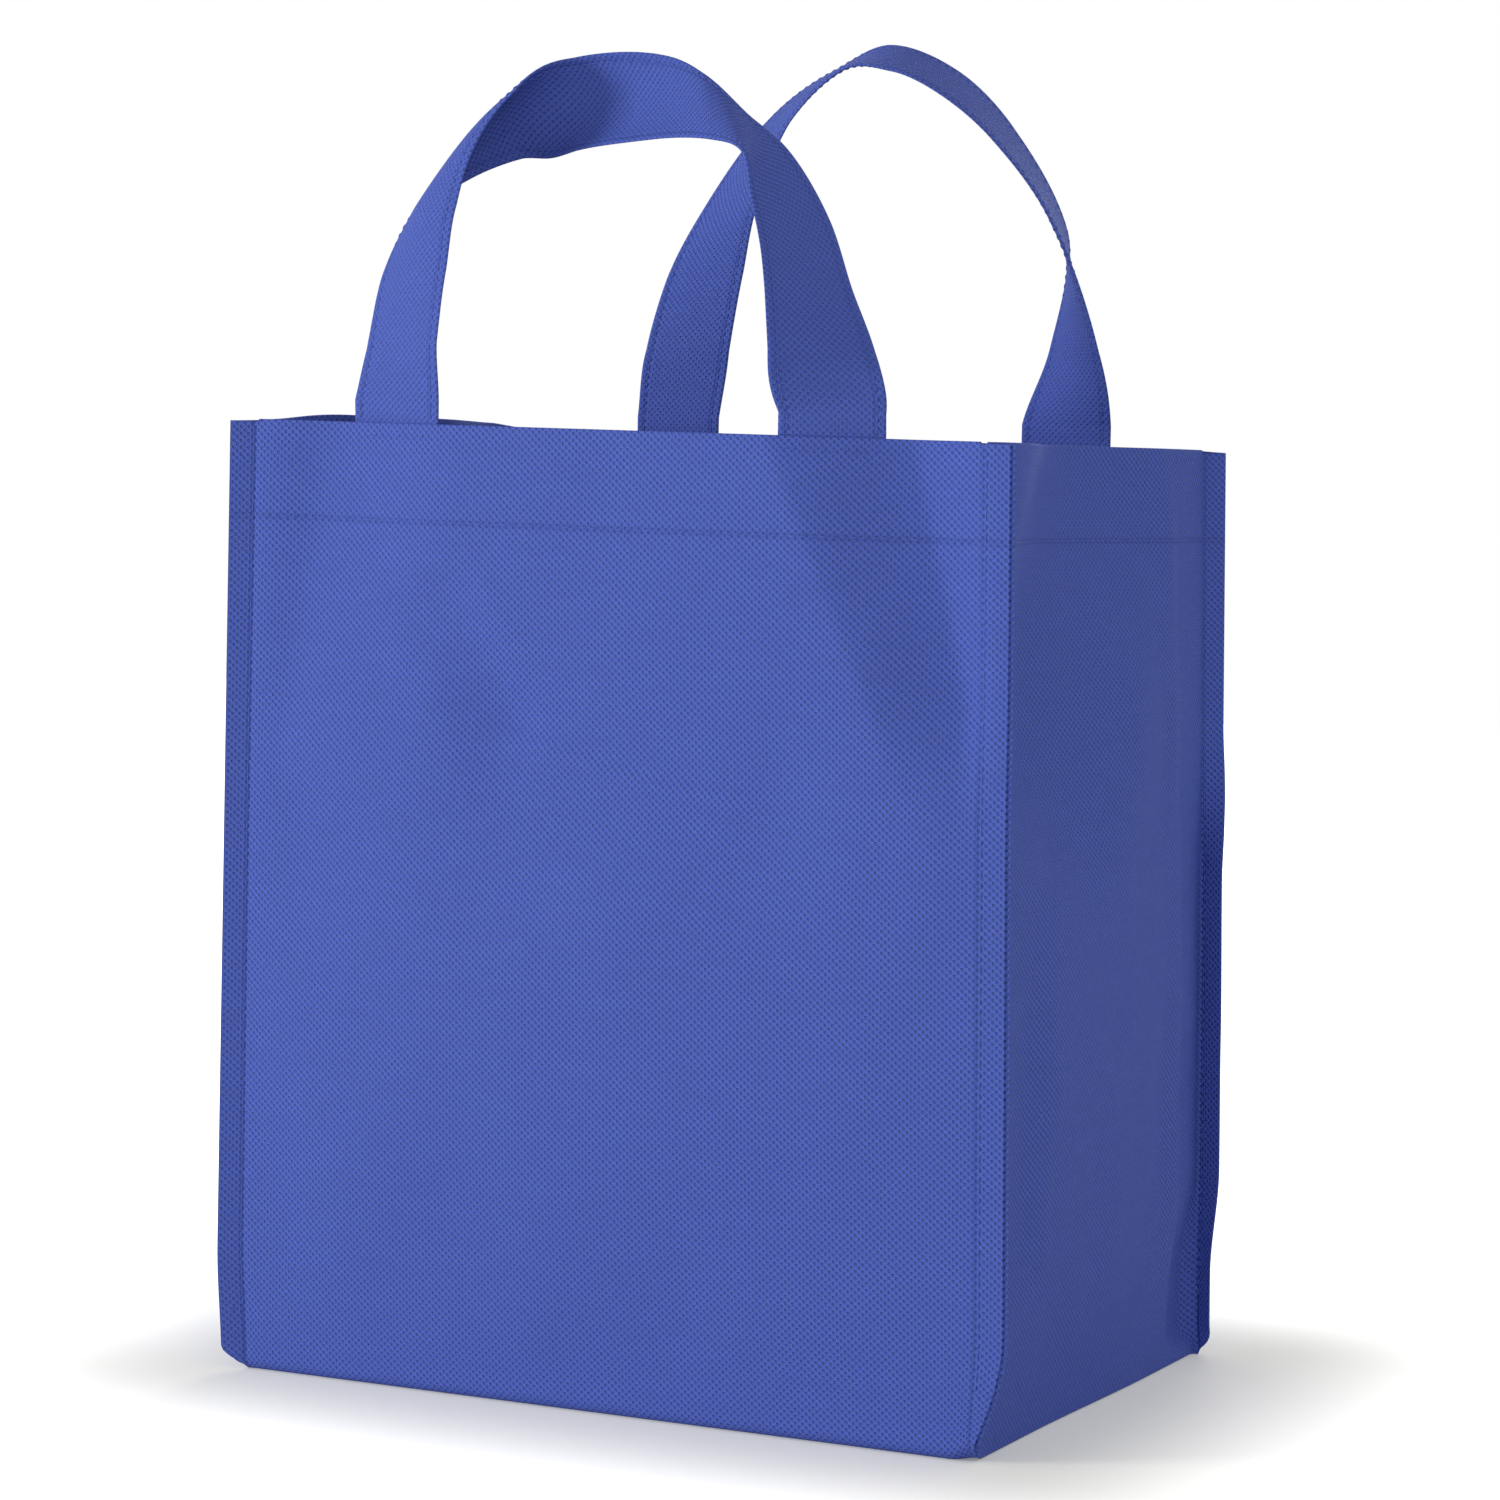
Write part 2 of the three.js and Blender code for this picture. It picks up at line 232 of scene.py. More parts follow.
# Painted shade: the straps are the same cloth as the panels, painted darker to stand in for less light on
# them.
STRAP_BRIGHTNESS_WITH_PAINTED_SHADE = 1.05
THREAD_COLOUR = (0.070, 0.112, 0.440)
THREAD_TWIST_SCALE = 2200.0
THREAD_TONE = (0.82, 1.18)
THREAD_ROUGHNESS = 0.6
THREAD_SPECULAR = 0.15
BOARD_COLOUR = (0.024, 0.025, 0.029)
BOARD_GRAIN_SCALE = 900.0
BOARD_GRAIN_STRENGTH = 0.5
BOARD_GRAIN_DEPTH = 0.08
BOARD_SCUFF_SCALE = 40.0
BOARD_TONE = (0.8, 1.3)
BOARD_ROUGHNESS = (0.45, 0.65)

# Studio, in metres, watts and degrees. A lamp has a place, a target, a diameter and a power.
FLOOR_HALF = 4.0
FLOOR_COLOUR = (0.85, 0.84, 0.77, 1)
SHADOW_REACH = 0.15
SHADOW_GLOW = 0.18
WORLD_LIGHT = 0.52
LAMPS = {
    "key": ((-2.2, -1.85, 0.6), (0, 0, 0.1), 0.9, 50),
    "fill": ((1.6, -2.1, 0.5), (0, 0, 0.2), 1.2, 13),
    "back": ((-0.5, 2.5, 1.1), (0, 0, 0.2), 1.2, 18),
}
CAMERA_TURN = 26.63
CAMERA_DIP = 3.7
CAMERA_ROLL = 1.08
CAMERA_TARGET = (-0.003, 0, 0.2225)
CAMERA_ASIDE = 0.005
CAMERA_DISTANCE = 1.546
CAMERA_LENS = 102.84
CAMERA_SENSOR = 36
CAMERA_REACH = 50

# Limits that keep divisions safe
TINY = 1e-9
SAME_POINT = 1e-4
LEAST_CURL = 1e-4

# Sizes that follow
MM = 0.001
PITCH = CLOTH + SEWN_GAP
HALF_PITCH = PITCH / 2
STITCH_X = BAG_WIDTH / 2 - FLANGE_WIDTH
PANEL_Y = BAG_DEPTH / 2
BASE_Z = CLOTH / 2
WALL_FOOT_Z = BASE_Z + FOOT_RADIUS
EDGE_RUN = HALF_PITCH + BEND_RADIUS + EDGE_FLAT
STRAP_Y = PANEL_Y - PITCH - CLOTH / 2 - SEWN_GAP - STRAP_THICKNESS / 2
STRAP_EDGE = STRAP_WIDTH / 2
STRAP_FLAT = STRAP_EDGE - STRAP_EDGE_ROUND
STRAP_SEWN_RISE = STRAP_RIM_RISE / 4
STRAP_ROW = STRAP_EDGE - STRAP_ROW_INSET
SIDE_SEAM = PANEL_Y - HALF_PITCH

# Flat-pattern distances from a hem's end: the rim on the outside, and the hem row below it
WALL_V = HEM_DEPTH + math.pi * HALF_PITCH - HALF_PITCH
HEM_ROW_V = WALL_V + HEM_DEPTH - HEM_ROW_INSET


# Soft shape

def between(ends, share):
    """A value on the straight way from one end to the other."""
    return ends[0] + (ends[1] - ends[0]) * share


def smooth(value, low, high):
    """A soft step from 0 at one value to 1 at another."""
    share = np.clip((value - low) / (high - low), 0, 1)
    return share * share * (3 - 2 * share)


def ramp(value, low, high):
    """Nearly straight from 0 to 1, with softened ends."""
    straight = np.clip((value - low) / (high - low), 0, 1)
    return between((straight, smooth(value, low, high)), RAMP_SOFTNESS)


def waves(u, v, seed, length):
    """Soft unevenness between about -1 and 1, from seeded sine waves of about one length."""
    rng = np.random.default_rng(seed)
    total = np.zeros(np.broadcast(u, v).shape)
    for _ in range(WAVE_COUNT):
        angle = rng.uniform(0, 2 * math.pi)
        step = 2 * math.pi / (length * rng.uniform(*WAVE_SPREAD))
        phase = rng.uniform(0, 2 * math.pi)
        total = total + np.sin(step * (u * math.cos(angle) + v * math.sin(angle)) + phase)
    return total / math.sqrt(WAVE_COUNT)


def uneven(u, v, heights, lengths, seed):
    """Long and short waves together."""
    layers = [h * waves(u, v, seed + k, length) for k, (h, length) in enumerate(zip(heights, lengths))]
    return sum(layers)


def from_line(u, v, start, end):
    """Distance along a line as a share of its length, and distance to its left."""
    du, dv = end[0] - start[0], end[1] - start[1]
    length = math.hypot(du, dv)
    along = ((u - start[0]) * du + (v - start[1]) * dv) / length**2
    left = ((v - start[1]) * du - (u - start[0]) * dv) / length
    return along, left


def groove(u, v, start, end, left_width, right_width):
    """A soft valley along a line, 1 at its bottom, with two unlike walls and fading ends."""
    along, left = from_line(u, v, start, end)
    walls = (1 - smooth(left, 0, left_width)) * (1 - smooth(-left, 0, right_width))
    return walls * smooth(along, *CREASE_FADE) * smooth(1 - along, *CREASE_FADE)


def creased(u, v, creases):
    """How far the creases of a wall stand out, which is less than nothing for a valley."""
    return -sum(depth * groove(u, v, *line) for depth, *line in creases)


def panel_fade(u, half, z):
    """1 over a wall, 0 at its sewn edges and at the foot."""
    return smooth(half - np.abs(u), 0, RELIEF_EDGE) * smooth(z, *RELIEF_FOOT)


def right_fold(x, z):
    """The wedge pulled in under the right end of the front strap, narrowing down to the corner."""
    down = np.clip((BAG_HEIGHT - z) / WEDGE_REACH, 0, WEDGE_FADE[1])
    start = between(WEDGE_START, down)
    bottom = np.minimum(between(WEDGE_BOTTOM, down), WEDGE_BOTTOM_LIMIT)
    depth = between(WEDGE_DEPTH, down) * (1 - smooth(down, *WEDGE_FADE))
    back_out = 1 - WEDGE_RETURN * smooth(x, bottom, STITCH_X + WEDGE_RETURN_PAST)
    return depth * ramp(x, start, bottom) * back_out


def left_fold(x, z):
    """The panel falling away to the left of a ridge that runs down from the left strap."""
    down = np.clip((BAG_HEIGHT - z) / FOLD_REACH, 0, 1)
    ridge = between(FOLD_RIDGE, smooth(down, *FOLD_RIDGE_SHIFT))
    bottom = between(FOLD_BOTTOM, down)
    depth = between(FOLD_DEPTH, down) * (1 - smooth(down, *FOLD_FADE))
    back_out = 1 - smooth(-x, bottom - FOLD_BOTTOM_ROUND, STITCH_X)
    return depth * smooth(-x, ridge - FOLD_RIDGE_ROUND, bottom) * back_out


def front_relief(x, z):
    """How far the front stands out, past its even belly."""
    relief = uneven(x, z, *FRONT_WAVES) + creased(x, z, FRONT_CREASES)
    return relief * panel_fade(x, STITCH_X, z) - right_fold(x, z) - left_fold(x, z)


def back_relief(x, z):
    """How far the back stands out, past its even belly."""
    return uneven(x, z, *BACK_WAVES) * panel_fade(x, STITCH_X, z)


def side_relief(y, z, side_waves):
    """How far a side panel stands out: its gusset is pulled in at the rim, towards the front."""
    relief = uneven(y, z, *side_waves) + creased(y, z, SIDE_CREASES)
    dimple = DIMPLE_DEPTH * smooth(y, *DIMPLE_START) * (1 - smooth(z, *DIMPLE_TOP))
    dimple = dimple * smooth(PANEL_Y - y, 0, DIMPLE_EDGE) * smooth(z, *DIMPLE_FOOT)
    return relief * panel_fade(y, PANEL_Y, z) - dimple


def wall_moves(x, y, z, across, along):
    """The soft relief of the four walls, which dies out up the straps."""
    low_z = np.minimum(z, BAG_HEIGHT)
    near_rim = 1 - smooth(z - BAG_HEIGHT, *RELIEF_END)
    on_front = smooth(-along, *FRONT_BACK_SHARES) * near_rim
    on_back = smooth(along, *FRONT_BACK_SHARES) * near_rim
    on_right = smooth(across, *SIDE_SHARES) * near_rim
    on_left = smooth(-across, *SIDE_SHARES) * near_rim
    move_x = side_relief(y, low_z, RIGHT_WAVES) * on_right - side_relief(y, low_z, LEFT_WAVES) * on_left
    move_x = move_x - WEDGE_DRAW * right_fold(x, low_z) * on_front
    move_y = back_relief(x, low_z) * on_back - front_relief(x, low_z) * on_front
    return np.stack([move_x, move_y, np.zeros_like(x)], -1)


def foot_moves(x, z, across, along):
    """The foot drawn in towards the front, and its near right corner lifted."""
    tuck = FOOT_TUCK * (1 - smooth(along, *FOOT_TUCK_SPAN)) * (1 - smooth(z, 0, FOOT_TUCK_HEIGHT))
    tuck = tuck * smooth(np.abs(across), *FOOT_TUCK_EDGE)
    lift = FOOT_LIFT * smooth(across, *FOOT_LIFT_ACROSS) * smooth(-along, *FOOT_LIFT_ALONG)
    lift = lift * (1 - smooth(z, 0, FOOT_LIFT_HEIGHT))
    return np.stack([-np.sign(x) * tuck, np.zeros_like(x), lift], -1)


def rim_rise(across, along, height):
    """How far the rim stands above or below its even height."""
    to_right, to_back = (across + 1) / 2, (along + 1) / 2
    front = between((CORNERS[-1, -1][0], CORNERS[1, -1][0]), to_right)
    back = between((CORNERS[-1, 1][0], CORNERS[1, 1][0]), to_right)
    lifted = (1 - smooth(np.abs(along), *LEFT_RIM_SPAN)) * smooth(-across, *LEFT_RIM_EDGE)
    lifted = LEFT_RIM_LIFT * lifted * height**LEFT_RIM_LIFT_POWER
    return between((front, back), to_back) * height**RIM_RISE_POWER + lifted


def settle(points):
    """The sewn box as it stands: bellied walls, narrower rim and back, uneven rim, soft folds."""
    x, y, z = points[..., 0], points[..., 1], points[..., 2]
    across = np.clip(x / (BAG_WIDTH / 2), -1, 1)
    along = np.clip(y / PANEL_Y, -1, 1)
    height = np.clip(z / BAG_HEIGHT, 0, 1)
    belly = between((np.sin(np.pi * height), 1), RIM_BULGE_SHARE * height)
    bulge = np.where(along < 0, FRONT_BULGE, BACK_BULGE)
    taper = 1 - (RIM_TAPER * height + BACK_TAPER * (along + 1) / 2) / BAG_WIDTH
    new_x = x * taper + RIM_SHIFT * height + SIDE_BULGE * across * (1 - along**2) * belly
    new_y = y + bulge * along * (1 - across**2) * belly
    new_z = z + rim_rise(across, along, height)
    placed = np.stack([new_x, new_y, new_z], -1)
    return placed + foot_moves(x, z, across, along) + wall_moves(x, y, z, across, along)


# Meshes

def unit(vectors):
    return vectors / np.maximum(np.linalg.norm(vectors, axis=-1, keepdims=True), TINY)


def run_along(points):
    """Distance of each point from the first, along the line through them."""
    steps = np.linalg.norm(np.diff(np.array(points, float), axis=0), axis=1)
    return np.concatenate([[0], np.cumsum(steps)])


def surface_normals(grid):
    return unit(np.cross(np.gradient(grid, axis=1), np.gradient(grid, axis=0)))


def add_object(name, vertices, faces, material):
    """A mesh object in metres, from vertices in millimetres."""
    mesh = bpy.data.meshes.new(name)
    mesh.from_pydata([tuple(v) for v in vertices * MM], [], faces)
    mesh.materials.append(material)
    piece = bpy.data.objects.new(name, mesh)
    bpy.context.scene.collection.objects.link(piece)
    return piece


def grid_faces(rows, columns):
    """Quads of a sheet with two faces and closed edges."""
    layer = rows * columns
    index = np.arange(layer).reshape(rows, columns)
    a, b, c, d = index[:-1, :-1], index[:-1, 1:], index[1:, 1:], index[1:, :-1]
    front = np.stack([a, b, c, d], -1).reshape(-1, 4)
    back = np.stack([a, d, c, b], -1).reshape(-1, 4) + layer
    edge = np.concatenate([index[0, ::-1], index[1:, 0], index[-1, 1:], index[-2:0:-1, -1]])
    after = np.roll(edge, -1)
    rim = np.stack([edge, after, after + layer, edge + layer], -1)
    return np.concatenate([front, back, rim])


def sheet_piece(name, grid, half_thickness, u, v, material):
    """A closed sheet from its middle surface, with its flat pattern in metres as UVs."""
    offset = surface_normals(grid) * half_thickness[..., None]
    vertices = np.concatenate([(grid + offset).reshape(-1, 3), (grid - offset).reshape(-1, 3)])
    piece = add_object(name, vertices, grid_faces(*grid.shape[:2]).tolist(), material)
    flat = np.stack([u, np.broadcast_to(v[:, None], u.shape)], -1).reshape(-1, 2) * MM
    flat = np.concatenate([flat, flat])
    layer = piece.data.uv_layers.new(name="cloth")
    corners = np.empty(len(piece.data.loops), dtype=np.int32)
    piece.data.loops.foreach_get("vertex_index", corners)
    layer.data.foreach_set("uv", flat[corners].astype(np.float32).ravel())
    piece.data.shade_smooth()
    piece.data.set_sharp_from_angle(angle=math.radians(SHARP_ANGLE))
    return piece


def dressed(piece, slot, *nodes):
    """Seat a piece on the bag's one body."""
    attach(piece, "root")
    if nodes:
        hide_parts(*nodes)
    return piece


# Panels

FOOT_ANGLES = np.linspace(0, math.pi / 2, FOOT_BEND_ROWS + 1)[1:]
EDGE_SHARES = np.concatenate([
    np.linspace(0, BEND_COLUMNS_SHARE, BEND_COLUMNS + 1)[1:],
    np.linspace(BEND_COLUMNS_SHARE, 1, FLANGE_COLUMNS + 1)[1:],
])


def edge_points(turn, length, short):
    """A sheet's edge past its last flat column: straight, one round bend, straight again."""
    way = math.copysign(1, turn)
    start = EDGE_RUN - short - BEND_RADIUS * math.tan(abs(turn) / 2)
    bend = BEND_RADIUS * abs(turn)
    run = EDGE_SHARES * length
    angle = way * np.clip(run - start, 0, bend) / BEND_RADIUS
    past = np.maximum(run - start - bend, 0)
    out = way * BEND_RADIUS * (1 - np.cos(angle)) + past * np.sin(angle)
    along = np.minimum(run, start) + BEND_RADIUS * np.sin(np.abs(angle)) + past * np.cos(angle)
    return along, out, run


def flange_turn(corner, z):
    low = FLANGE_TURN_HEIGHT - FLANGE_TURN_SPAN / 2
    return math.radians(between(CORNERS[corner][2:], float(smooth(z, low, low + FLANGE_TURN_SPAN))))


def flange_length(corner, z):
    fade = min(max(1 - (z - FLANGE_FLOOR_GAP) / CORNERS[corner][1], 0), 1)
    return EDGE_RUN + between((FLANGE_WIDTH, FLANGE_STUB), fade**FLANGE_FADE_POWER)


def foot_inset(z):
    """How far the rounded foot of the body lies inside its wall."""
    drop = min(max(WALL_FOOT_Z - z, 0), FOOT_RADIUS)
    return FOOT_RADIUS - math.sqrt(FOOT_RADIUS**2 - drop**2)


def hem_stations():
    """Up the inside of the hem and over the fold: inward distance and height."""
    fold_z = BAG_HEIGHT - HALF_PITCH
    up = [(PITCH, z) for z in np.linspace(BAG_HEIGHT - HEM_DEPTH, fold_z, HEM_ROWS)]
    angles = np.linspace(0, math.pi, FOLD_ROWS + 1)[1:]
    fold = [(HALF_PITCH + HALF_PITCH * math.cos(a), fold_z + HALF_PITCH * math.sin(a)) for a in angles]
    return up + fold


def wall_heights(count):
    """Heights down a wall, closer together near the foot."""
    high = np.linspace(BAG_HEIGHT - HALF_PITCH - RIM_STEP, FOOT_ROWS_TOP, count)
    shares = (1 - np.linspace(0, 1, FOOT_ROWS)) ** FOOT_ROWS_SPREAD
    return [*high[:-1], *between((WALL_FOOT_Z, FOOT_ROWS_TOP), shares)]


def body_half(end):
    """Stations of half the body strip, from the hem inside to the middle of the base."""
    stations = [(end * (PANEL_Y - inward), z, (end, 0), "hem") for inward, z in hem_stations()]
    heights = wall_heights(FRONT_ROWS if end < 0 else BACK_ROWS)
    stations += [(end * PANEL_Y, z, (end, 0), "wall") for z in heights]
    for a in FOOT_ANGLES:
        y = end * (PANEL_Y - FOOT_RADIUS + FOOT_RADIUS * math.cos(a))
        z = WALL_FOOT_Z - FOOT_RADIUS * math.sin(a)
        stations.append((y, z, (end * math.cos(a), -math.sin(a)), "wall"))
    for y in np.linspace(PANEL_Y - FOOT_RADIUS, 0, BASE_ROWS + 1)[1:]:
        stations.append((end * y, BASE_Z, (0, -1), "base"))
    return stations


def body_edge(station, side):
    """The body's edge at a station: a stub in the hem, a flange on a wall, a lip under a side."""
    y, z, (upright, _), kind = station
    if kind == "hem":
        return edge_points(0, EDGE_STUB, 0)
    if kind == "base":
        grow = float(smooth(PANEL_Y - FOOT_RADIUS - abs(y), 0, LIP_FADE))
        return edge_points(-math.pi / 2, between((EDGE_STUB, EDGE_RUN + SEAM_LIP), grow), HALF_PITCH)
    corner = (side, -1 if y < 0 else 1)
    turn = flange_turn(corner, z) * abs(upright)
    return edge_points(turn, flange_length(corner, z), HALF_PITCH * math.tan(turn / 2))


def side_edge(corner, z, kind):
    """A side panel's edge: a stub in the hem, or the inner layer of a corner flange."""
    if kind == "hem":
        return edge_points(0, EDGE_STUB, 0)
    turn = math.pi / 2 - flange_turn(corner, z)
    return edge_points(turn, flange_length(corner, z), HALF_PITCH * math.tan(turn / 2))


def joined(first, middle, last):
    """One row of a sheet, with its first edge turned round."""
    return np.concatenate([first[::-1], middle, last])


def body_grid():
    """Middle surface of the body strip, and its flat pattern across and along."""
    stations = body_half(-1) + body_half(1)[-2::-1]
    flat_x = STITCH_X - EDGE_RUN
    flat = np.linspace(-flat_x, flat_x, BODY_COLUMNS)
    rows, across = [], []
    for station in stations:
        y, z, (out_y, out_z), _ = station
        places, runs = [], []
        for side in (-1, 1):
            along, out, run = body_edge(station, side)
            places.append(np.stack([side * (flat_x + along), y + out * out_y, z + out * out_z], -1))
            runs.append(side * (flat_x + run))
        middle = np.stack([flat, np.full_like(flat, y), np.full_like(flat, z)], -1)
        rows.append(joined(places[0], middle, places[1]))
        across.append(joined(runs[0], flat, runs[1]))
    return settle(np.array(rows)), np.array(across), run_along([station[:2] for station in stations])


def side_grid(side):
    """Middle surface of a side panel, and its flat pattern across and along."""
    stations = [(inward, z, "hem") for inward, z in hem_stations()]
    foot = [max(WALL_FOOT_Z - FOOT_RADIUS * math.sin(a), SIDE_FLOOR_GAP) for a in FOOT_ANGLES]
    stations += [(0, z, "wall") for z in wall_heights(SIDE_ROWS) + foot]
    rows, across = [], []
    for inward, z, kind in stations:
        x = STITCH_X + HALF_PITCH - inward
        flat_y = SIDE_SEAM - foot_inset(z) - EDGE_RUN
        flat = np.linspace(-flat_y, flat_y, SIDE_COLUMNS)
        places, runs = [], []
        for end in (-1, 1):
            along, out, run = side_edge((side, end), z, kind)
            places.append(np.stack([side * (x + out), end * (flat_y + along), np.full_like(along, z)], -1))
            runs.append(end * (flat_y + run))
        middle = np.stack([np.full_like(flat, side * x), flat, np.full_like(flat, z)], -1)
        rows.append(joined(places[0], middle, places[1]))
        across.append(joined(runs[0], flat, runs[1]))
    return settle(np.array(rows)), np.array(across), run_along([station[:2] for station in stations])


# Straps

# Stations of a strap: place as shares of half the spacing, the lean and the rise, the direction
# across the strap, and its share of the curl
FRONT_STRAP = [
    ((-0.97, 0.03, 0.24), (0.95, -0.3, 0.05), 0),
    ((-0.95, 0.16, 0.46), (0.93, -0.36, 0.06), 0.2),
    ((-0.9, 0.33, 0.65), (0.83, -0.54, 0.1), 0.5),
    ((-0.79, 0.6, 0.81), (0.55, -0.78, 0.31), 0.7),
    ((-0.65, 0.86, 0.92), (0.3, -0.74, 0.6), 0.8),
    ((-0.42, 1, 0.99), (-0.1, 0.1, 0.99), 0.9),
    ((0, 0.95, 1.01), (-0.28, 0.5, 0.82), 0.4),
    ((0.27, 0.74, 0.97), (-0.42, 0.65, 0.63), 0),
    ((0.48, 0.53, 0.89), (-0.41, 0.81, 0.42), 0),
    ((0.64, 0.37, 0.76), (-0.08, 0.88, 0.47), 0),
    ((0.78, 0.24, 0.6), (0.21, 0.95, 0.22), 0),
    ((0.87, 0.13, 0.43), (0.4, 0.91, 0.03), 0),
    ((0.95, 0.05, 0.25), (0.7, 0.71, 0), 0),
]

BACK_STRAP = [
    ((-0.95, 0.05, 0.24), (-1, 0, 0), 0),
    ((-0.85, 0.14, 0.45), (-0.99, 0.13, -0.07), 0),
    ((-0.72, 0.32, 0.61), (-0.92, 0.39, -0.08), 0),
    ((-0.41, 0.64, 0.86), (-0.66, 0.75, 0.07), 0),
    ((-0.08, 0.86, 0.99), (-0.55, 0.83, 0.05), 0),
    ((0.2, 1, 1.02), (-0.4, 0.85, 0.33), 0),
    ((0.5, 1, 0.95), (-0.27, 0.9, 0.33), 0),
    ((0.74, 0.82, 0.82), (-0.11, 0.99, 0.08), 0),
    ((0.99, 0.41, 0.57), (-0.24, 0.97, -0.04), 0),
    ((1.04, 0.14, 0.25), (-0.8, 0.6, 0), 0),
]

FRONT_HANDLE = {"end": -1, "rise": 114.0, "lean": 38.0, "sewn": (1, 0, 0), "stations": FRONT_STRAP}
BACK_HANDLE = {"end": 1, "rise": 140.0, "lean": 22.0, "sewn": (-1, 0, 0), "stations": BACK_STRAP}


def through(points, shares):
    """A centripetal Catmull-Rom curve through points, and its direction."""
    points = np.array(points, float)
    padded = np.concatenate([[2 * points[0] - points[1]], points, [2 * points[-1] - points[-2]]])
    place = np.clip(shares, 0, 1) * (len(points) - 1)
    first = np.minimum(place.astype(int), len(points) - 2)
    w = (place - first)[:, None]
    p0, p1, p2, p3 = (padded[first + k] for k in range(4))
    steps = [np.sqrt(np.linalg.norm(b - a, axis=1))[:, None] for a, b in ((p0, p1), (p1, p2), (p2, p3))]
    d1 = np.where(steps[1] < SAME_POINT, 1.0, steps[1])
    d0 = np.where(steps[0] < SAME_POINT, d1, steps[0])
    d2 = np.where(steps[2] < SAME_POINT, d1, steps[2])
    t1 = ((p1 - p0) / d0 - (p2 - p0) / (d0 + d1) + (p2 - p1) / d1) * d1
    t2 = ((p2 - p1) / d1 - (p3 - p1) / (d1 + d2) + (p3 - p2) / d2) * d1
    c2 = -3 * p1 + 3 * p2 - 2 * t1 - t2
    c3 = 2 * p1 - 2 * p2 + t1 + t2
    return p1 + t1 * w + c2 * w**2 + c3 * w**3, t1 + 2 * c2 * w + 3 * c3 * w**2


def strap_line(handle):
    """Down a strap: the places of its middle, its directions across and outwards, and its curl."""
    end, half = handle["end"], STRAP_SPACING / 2
    stations = handle["stations"]

    def place(x, inward, z):
        return (x, end * (STRAP_Y - inward), BAG_HEIGHT + z)

    middles = [place(x * half, i * handle["lean"], z * handle["rise"]) for (x, i, z), _, _ in stations]
    middles = [place(-half, 0, STRAP_RIM_RISE), *middles, place(half, 0, STRAP_RIM_RISE)]
    acrosses = [handle["sewn"], *(a for _, a, _ in stations), handle["sewn"]]
    curls = [0, *(c for _, _, c in stations), 0]
    shares = np.linspace(0, 1, STRAP_ROWS)
    middle, tangent = through(middles, shares)
    across = unit(through(acrosses, shares)[0])
    face = unit(np.cross(across, tangent))
    curl = math.radians(STRAP_CURL) * through(list(enumerate(curls)), shares)[0][:, 1]
    rises = np.linspace(-STRAP_END_DEPTH, STRAP_SEWN_RISE, STRAP_END_ROWS)
    left = [place(-half, 0, rise) for rise in rises]
    right = [place(half, 0, rise) for rise in rises[::-1]]
    sewn = np.tile(handle["sewn"], (STRAP_END_ROWS, 1))
    middle = np.concatenate([left, middle, right])
    across = np.concatenate([sewn, across, sewn])
    face = np.pad(face, ((STRAP_END_ROWS, STRAP_END_ROWS), (0, 0)))
    return middle, across, face, np.pad(curl, STRAP_END_ROWS)


def strap_columns():
    """Places across a strap, closer together at its rounded edges."""
    inner = np.linspace(-STRAP_FLAT, STRAP_FLAT, STRAP_COLUMNS)
    angles = np.linspace(0, math.pi / 2, STRAP_EDGE_COLUMNS + 1)[1:]
    sides = STRAP_FLAT + STRAP_EDGE_ROUND * np.sin(angles)
    return joined(-sides, inner, sides)


def strap_grid(handle):
    """Middle surface of a strap, half its thickness, and its flat pattern across and along."""
    middle, across, face, curl = strap_line(handle)
    places = strap_columns()
    half_curl = np.maximum(curl / 2, LEAST_CURL)[:, None]
    radius = STRAP_EDGE / half_curl
    angle = half_curl * (places / STRAP_EDGE)[None]
    grid = middle[:, None] + across[:, None] * (radius * np.sin(angle))[..., None]
    grid = grid + face[:, None] * (radius * (np.cos(angle) - np.cos(half_curl)))[..., None]
    past = np.clip((np.abs(places) - STRAP_FLAT) / STRAP_EDGE_ROUND, 0, STRAP_EDGE_LIMIT)
    half_thickness = np.tile(STRAP_THICKNESS / 2 * np.sqrt(1 - past**2), (len(middle), 1))
    return settle(grid), half_thickness, np.tile(places, (len(middle), 1)), run_along(middle)


# Sewing

class Cloth:
    """A sheet's middle surface with lookups by its flat pattern."""

    def __init__(self, grid, u, v, half_thickness):
        self.grid, self.u, self.v, self.half = grid, u, v, half_thickness
        self.normals = surface_normals(grid)

    def outer_face(self, outward):
        """1 if the surface's normals on the first wall look out of the bag, else -1."""
        wall = self.normals[len(self.v) // 4, self.u.shape[1] // 2]
        return 1 if np.dot(wall, outward) > 0 else -1

    def at(self, u, v, face):
        """Points and outward directions on one face, at flat-pattern coordinates."""
        row = np.interp(v, self.v, np.arange(len(self.v)))
        low = np.minimum(row.astype(int), len(self.v) - 2)
        share = row - low
        point = np.zeros((len(u), 3))
        normal = np.zeros((len(u), 3))
        for r, weight in ((low, 1 - share), (low + 1, share)):
            for k in range(len(u)):
                column = np.interp(u[k], self.u[r[k]], np.arange(self.u.shape[1]))
                c = min(int(column), self.u.shape[1] - 2)
                point[k] += weight[k] * between(self.grid[r[k], c:c + 2], column - c)
                normal[k] += weight[k] * between(self.normals[r[k], c:c + 2], column - c)
        normal = unit(normal)
        return point + normal * self.half * face, normal * face


